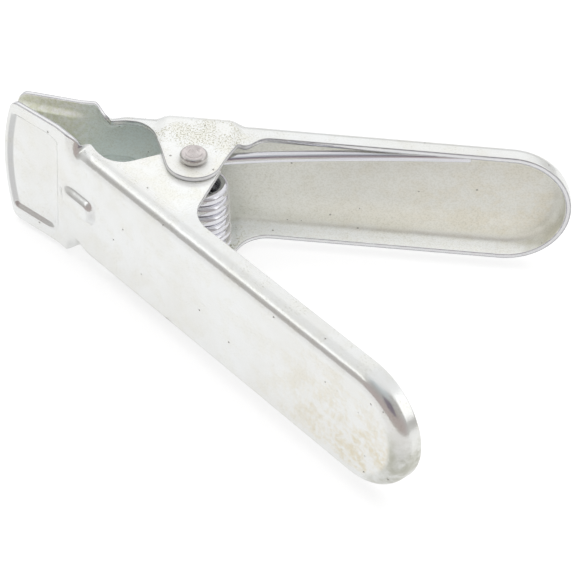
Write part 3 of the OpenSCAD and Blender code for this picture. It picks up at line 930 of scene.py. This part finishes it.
def speckled(n, on, marks, tone, amount):
    """Dense specks on the ears, a few all over, and a fine sandy look on the inside."""
    specks = n.times(n.ease(marks.dots, 0.49, 0.61, 0, amount), on.ear)
    specks = n.times(specks, n.ease(on.across, 27, 20, 0.2, 1))
    specks = n.times(specks, n.ease(marks.patch, 0.40, 0.52, 0.15, 1))
    scatter = n.times(n.ease(marks.dots, 0.56, 0.66, 0, 0.32), n.ease(marks.patch, 0.46, 0.56))
    sandy = n.times(n.ease(marks.dots, 0.42, 0.62, 0, 0.19), on.inside)
    return n.mix(n.highest(specks, scatter, sandy), tone, SPECKLE)


def edged(n, on, marks, tone):
    """Pale cut edges with a darker line of painted shade on both sides."""
    tone = n.mix(n.times(on.cut, 0.6), tone, CUT_EDGE)
    # painted shade: a dark line where the cut edge's rounding turns
    line = n.times(on.edge_shade_line, n.ease(marks.mottle, 0.35, 0.55, 0.35, 0.85))
    return n.mix(line, tone, EDGE_SHADE_LINE)


def pits(n, on, marks):
    """A mask of a few small ragged pits, which are a little more frequent on the ears."""
    inputs = {"Vector": marks.where, "Scale": 0.36}
    spots = n.add("TexVoronoi", inputs, voronoi_dimensions="2D").outputs
    chance = n.add("SeparateColor", {"Color": spots["Color"]}).outputs[0]
    chosen = n.calc("GREATER_THAN", n.plus(chance, n.times(on.ear, 0.06)), 0.955)
    size = n.times(n.ease(marks.mottle, 0.3, 0.7, 0.07, 0.16), chosen)
    ragged = n.plus(spots["Distance"], n.times(marks.grain, 0.08))
    return n.ease(n.minus(size, ragged), 0.0, 0.02)


def zinc(name, shift, end_stain_and_shade, ear_wear):
    """Zinc plating on pressed steel, bright outside, and satin inside and on the ears.
    end_stain_and_shade says how strong a lever's stains and its tarnish with painted shade are, and
    ear_wear how strong its specks are."""
    mat, n, shader = metal(name)
    on = Places(n)
    marks = Marks(n, shift)
    pit = pits(n, on, marks)
    tone = n.mix(on.inside, outside_tone(n, on, marks), inside_tone(n, on, marks))
    tone = stained_and_shaded(n, on, marks, tone, end_stain_and_shade)
    tone = speckled(n, on, marks, tone, ear_wear)
    tone = edged(n, on, marks, tone)
    tone = n.mix(n.times(pit, 0.7), tone, PIT)

    satin = n.times(on.inside, n.plus(0.57, n.times(on.low_flange, 0.36)))
    metallic = n.minus(n.minus(0.93, satin), n.times(on.ear, 0.34))
    rough = n.plus(n.ease(marks.cloud, 0.3, 0.7, 0.13, 0.18), n.times(on.inside, 0.18))
    rough = n.plus(rough, n.times(on.ear, ear_wear * 0.35), n.times(pit, 0.3))
    height = n.plus(n.times(marks.mottle, 0.5), n.times(marks.grain, 0.2), n.times(marks.wave, 1.6))
    height = n.minus(height, n.times(pit, 0.6))
    n.connect(shader, {
        "Base Color": tone, "Metallic": metallic, "Roughness": rough,
        "Normal": n.bump(height, 0.4, 0.00006),
    })
    return mat


def wire_steel(name):
    """Drawn spring wire: smooth, with fine lines along it."""
    mat, n, shader = metal(name)
    lines = n.noise(n.shifted((7, 3, 0), (0.05, 3.0, 1)), 2.0, 3, 0.6)
    dull = n.noise(n.shifted((2, 9, 0), (0.5, 0.6, 1)), 1.0, 3, 0.6)
    n.connect(shader, {
        "Base Color": n.mix(n.ease(lines, 0.3, 0.7), WIRE, WIRE_LINE),
        "Roughness": n.ease(dull, 0.3, 0.7, 0.05, 0.12),
        "Normal": n.bump(lines, 0.15, 0.00002),
    })
    return mat


def peened_steel(name):
    """The rivet: darker and warmer than the zinc, grey and smoother on the heads' rims."""
    mat, n, shader = metal(name)
    where = n.shifted((5, 5, 5))
    patches = n.noise(where, 0.9, 4, 0.6)
    grain = n.noise(where, 5.0, 3, 0.6)
    x, y, _ = n.split(n.sheet())
    rim = n.ease(n.hypot(x, y), 2.0, 2.5)
    tone = n.mix(n.ease(patches, 0.35, 0.65), RIVET, RIVET_PATCH)
    tone = n.mix(n.ease(grain, 0.55, 0.75, 0, 0.25), tone, RIVET_GRAIN)
    tone = n.mix(n.times(rim, 0.8), tone, RIVET_RIM)
    height = n.plus(n.times(patches, 0.8), n.times(grain, 0.2))
    n.connect(shader, {
        "Base Color": tone,
        "Roughness": n.minus(n.ease(grain, 0.3, 0.7, 0.18, 0.26), n.times(rim, 0.08)),
        "Normal": n.bump(height, 0.4, 0.00008),
    })
    return mat


front.data.materials.append(zinc("front_zinc", (11, 4, 0), 1.0, 0.3))
rear.data.materials.append(zinc("rear_zinc", (57, 23, 8), 0.35, 1.0))
spring.data.materials.append(wire_steel("spring_wire_steel"))
rivet.data.materials.append(peened_steel("rivet_peened"))

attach(front, "front_lever")
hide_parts("front_lever")
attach(rear, "rear_lever")
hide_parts("rear_lever")
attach(rivet, "rear_lever")
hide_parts("pivot_rivet")
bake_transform(spring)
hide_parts("torsion_spring")

# -------- floor, light and camera
FLOOR_HALF = 0.6  # metres
TABLE_SHEEN = 0.34  # share of the polish in what the metal mirrors of the table

# The tent's brightness by elevation in degrees, in front of the clamp, at both sides of it and
# behind it. The front is the side where the camera is.
TENT_R = 1.5  # metres
FRONT_AZIMUTH = 285
IN_FRONT = (
    (-3, (0.50, 0.50, 0.46)), (5, (0.44, 0.38, 0.37)), (20, (0.43, 0.37, 0.36)),
    (34, (0.39, 0.36, 0.35)), (50, (0.40, 0.40, 0.39)), (66, (0.49, 0.53, 0.55)),
    (90, (0.80, 0.80, 0.80)),
)
AT_THE_SIDES = (
    (-3, (0.60, 0.595, 0.58)), (8, (0.445, 0.435, 0.425)), (22, (0.46, 0.45, 0.44)),
    (40, (0.86, 0.86, 0.85)), (62, (0.74, 0.74, 0.74)), (90, (0.78, 0.78, 0.78)),
)
BEHIND = (
    (-3, (0.66, 0.66, 0.66)), (16, (0.68, 0.68, 0.68)), (28, (0.92, 0.92, 0.92)),
    (40, (0.98, 0.98, 0.98)), (58, (0.81, 0.81, 0.81)), (90, (0.80, 0.80, 0.80)),
)
SIDES_FROM = (42, 78)  # degrees from the front over which the sides take over
BEHIND_FROM = (84, 112)

# Parts of another brightness: azimuth and elevation of the middle, degrees by which it rises for
# each degree of azimuth, half the width, half the height, width of the soft edge, and colour.
LAMP_WHITE = (1.2, 1.2, 1.2)
SCREEN_GREY = (0.44, 0.43, 0.42)
LENS_SLOT = (0.16, 0.13, 0.17)
OPENINGS = (
    (198, 40, -0.25, 26, 2.5, 5, LAMP_WHITE),
    (16, 31, 0.6, 9, 10, 6, LAMP_WHITE),
    (346, 46, 0.0, 12, 12, 12, SCREEN_GREY),
    (293, 38, 0.0, 14, 8, 8, LENS_SLOT),
)

# The camera stands where the photograph was taken from: a turn round the pivot, in degrees, the
# distance and the point in the middle of the picture in mm from the pivot, and the picture's roll.
VIEW_AZIMUTH = math.radians(23.08)
VIEW_ELEVATION = math.radians(41.92)
VIEW_ROLL = math.radians(4.19)
VIEW_DISTANCE = 429.67
VIEW_TARGET = np.array([23.48, -5.98, -3.35])
FOCAL_PX, PICTURE_PX = 2308.8, 576
SENSOR_W = 36


def direction(azimuth, elevation):
    """Unit vector towards an azimuth, counted from +X to +Y, and an elevation, in degrees."""
    a, e = math.radians(azimuth), math.radians(elevation)
    return np.array([math.cos(a) * math.cos(e), math.sin(a) * math.cos(e), math.sin(e)])


def stage_material(name):
    """A new material with an empty tree, and its nodes."""
    mat = bpy.data.materials.new(name)
    mat.use_nodes = True
    mat.node_tree.nodes.clear()
    return mat, Nodes(mat.node_tree)


def add_floor():
    """A table that keeps the clamp's soft shadow. Camera and metal both see it white, and the metal
    sees a polish on it."""
    corners = ((-1, -1, 0), (1, -1, 0), (1, 1, 0), (-1, 1, 0))
    mesh = bpy.data.meshes.new("floor")
    mesh.from_pydata([Vector(c) * FLOOR_HALF for c in corners], [], [(0, 1, 2, 3)])
    floor = add_object("floor", mesh)
    mat, n = stage_material("floor_white")
    ray = n.add("LightPath").outputs
    table = n.add("BsdfDiffuse", {"Color": (0.9, 0.9, 0.89, 1)}).outputs[0]
    glow = n.add("Emission", {"Color": (1, 1, 1, 1), "Strength": 0.76}).outputs[0]
    lit = n.add("BsdfDiffuse", {"Color": (0.27, 0.27, 0.27, 1)}).outputs[0]
    white = n.add("AddShader", {0: lit, 1: glow}).outputs[0]
    polish = n.add("BsdfAnisotropic", {"Roughness": 0.3}).outputs[0]
    sheen = n.times(ray["Is Glossy Ray"], TABLE_SHEEN)
    white = n.add("MixShader", {0: sheen, 1: white, 2: polish}).outputs[0]
    shown = n.highest(ray["Is Camera Ray"], ray["Is Glossy Ray"], ray["Is Transmission Ray"])
    final = n.add("MixShader", {0: shown, 1: table, 2: white}).outputs[0]
    n.add("OutputMaterial", {"Surface": final})
    floor.data.materials.append(mat)


def dome(name, radius, lowest=-3, step=10):
    """A round tent over the table, from an elevation just under its edge to the top."""
    around = range(0, 360, step)
    rows = [lowest, *range(step, 90, step)]
    points = [tuple(radius * direction(a, e)) for e in rows for a in around] + [(0, 0, radius)]
    sides = len(around)
    last = (len(rows) - 1) * sides
    faces = bands(len(rows), sides)
    faces += [(last + k, last + (k + 1) % sides, len(points) - 1) for k in range(sides)]
    mesh = bpy.data.meshes.new(name)
    mesh.from_pydata(points, [], faces)
    return add_object(name, mesh)


class TentCloth:
    """The tent's colours, by the direction in which a place on it lies."""

    def __init__(self, n):
        self.n = n
        place = n.add("NewGeometry").outputs["Position"]
        self.way = n.add("VectorMath", {0: place}, operation="NORMALIZE").outputs[0]
        up = n.split(self.way)["Z"]
        self.ramp_place = n.calc("MULTIPLY_ADD", up, 0.5, 0.5)
        self.elevation = n.calc("DEGREES", n.calc("ARCSINE", up))

    def by_elevation(self, stops):
        """A colour ramp over the sine of the elevation."""
        node = self.n.add("ValToRGB", {"Fac": self.ramp_place})
        elements = node.color_ramp.elements
        for i, (angle, colour) in enumerate(stops):
            at = 0.5 + 0.5 * math.sin(math.radians(angle))
            element = elements[i] if i < 2 else elements.new(at)
            element.position = at
            element.color = (*colour, 1)
        return node.outputs["Color"]

    def turned_from(self, azimuth):
        """Degrees of azimuth from the one given to the place on the tent."""
        along = self.n.dot(self.way, direction(azimuth, 0))
        across = self.n.dot(self.way, direction(azimuth + 90, 0))
        return self.n.calc("DEGREES", self.n.calc("ARCTAN2", across, along))

    def opened(self, cloth, azimuth, middle, tilt, half_w, half_h, soft, colour):
        """The cloth with an opening in it."""
        n = self.n
        turned = self.turned_from(azimuth)
        off = n.absolute(n.minus(self.elevation, n.calc("MULTIPLY_ADD", turned, tilt, middle)))
        share = n.times(n.ease(n.absolute(turned), half_w, half_w + soft, 1, 0),
                        n.ease(off, half_h, half_h + soft, 1, 0))
        return n.mix(share, cloth, colour)

    def colour(self):
        """Front, sides and back, with the openings in them."""
        n = self.n
        from_front = n.absolute(self.turned_from(FRONT_AZIMUTH))
        cloth = self.by_elevation(IN_FRONT)
        for over, stops in ((SIDES_FROM, AT_THE_SIDES), (BEHIND_FROM, BEHIND)):
            cloth = n.mix(n.ease(from_front, *over), cloth, self.by_elevation(stops))
        for opening in OPENINGS:
            cloth = self.opened(cloth, *opening)
        return cloth


def add_tent():
    """A light tent, greyer on the camera's side, with two soft bright windows, a grey screen and a
    dark slot for the lens. The camera looks through it."""
    tent = dome("tent", TENT_R)
    tent.visible_camera = False
    mat, n = stage_material("tent_cloth")
    glow = n.add("Emission", {"Color": TentCloth(n).colour()}).outputs[0]
    n.add("OutputMaterial", {"Surface": glow})
    tent.data.materials.append(mat)


def add_world():
    """Plain white all round."""
    world = bpy.data.worlds.new("studio")
    scene.world = world
    world.use_nodes = True
    background = world.node_tree.nodes["Background"]
    background.inputs["Color"].default_value = (1, 1, 1, 1)
    background.inputs["Strength"].default_value = 1.0


def add_lamp():
    """A wide soft lamp overhead, out of sight in the metal."""
    data = bpy.data.lights.new("overhead", "AREA")
    data.shape = "DISK"
    data.size = 1.2
    data.energy = 7.8
    lamp = add_object("overhead", data)
    lamp.location = (0.05, -0.05, 0.9)
    lamp.visible_glossy = False
    lamp.visible_camera = False


def add_camera():
    """The camera, at the photograph's place, with its focal length."""
    back = np.array([
        math.sin(VIEW_AZIMUTH) * math.cos(VIEW_ELEVATION),
        -math.cos(VIEW_AZIMUTH) * math.cos(VIEW_ELEVATION),
        math.sin(VIEW_ELEVATION),
    ])
    across = unit(np.cross([0, 0, 1], back))
    up = np.cross(back, across)
    c, sn = math.cos(VIEW_ROLL), math.sin(VIEW_ROLL)
    place = (VIEW_TARGET + back * VIEW_DISTANCE + PIVOT) * MM
    data = bpy.data.cameras.new("camera")
    data.sensor_width = SENSOR_W
    data.lens = SENSOR_W * FOCAL_PX / PICTURE_PX
    data.clip_start, data.clip_end = 0.01, 10
    camera = add_object("camera", data)
    axes = Matrix((c * across + sn * up, -sn * across + c * up, back)).transposed()
    camera.matrix_world = Matrix.Translation(Vector(place)) @ axes.to_4x4()
    scene.camera = camera


add_floor()
add_tent()
add_world()
add_lamp()
add_camera()
scene.view_settings.view_transform = "Standard"
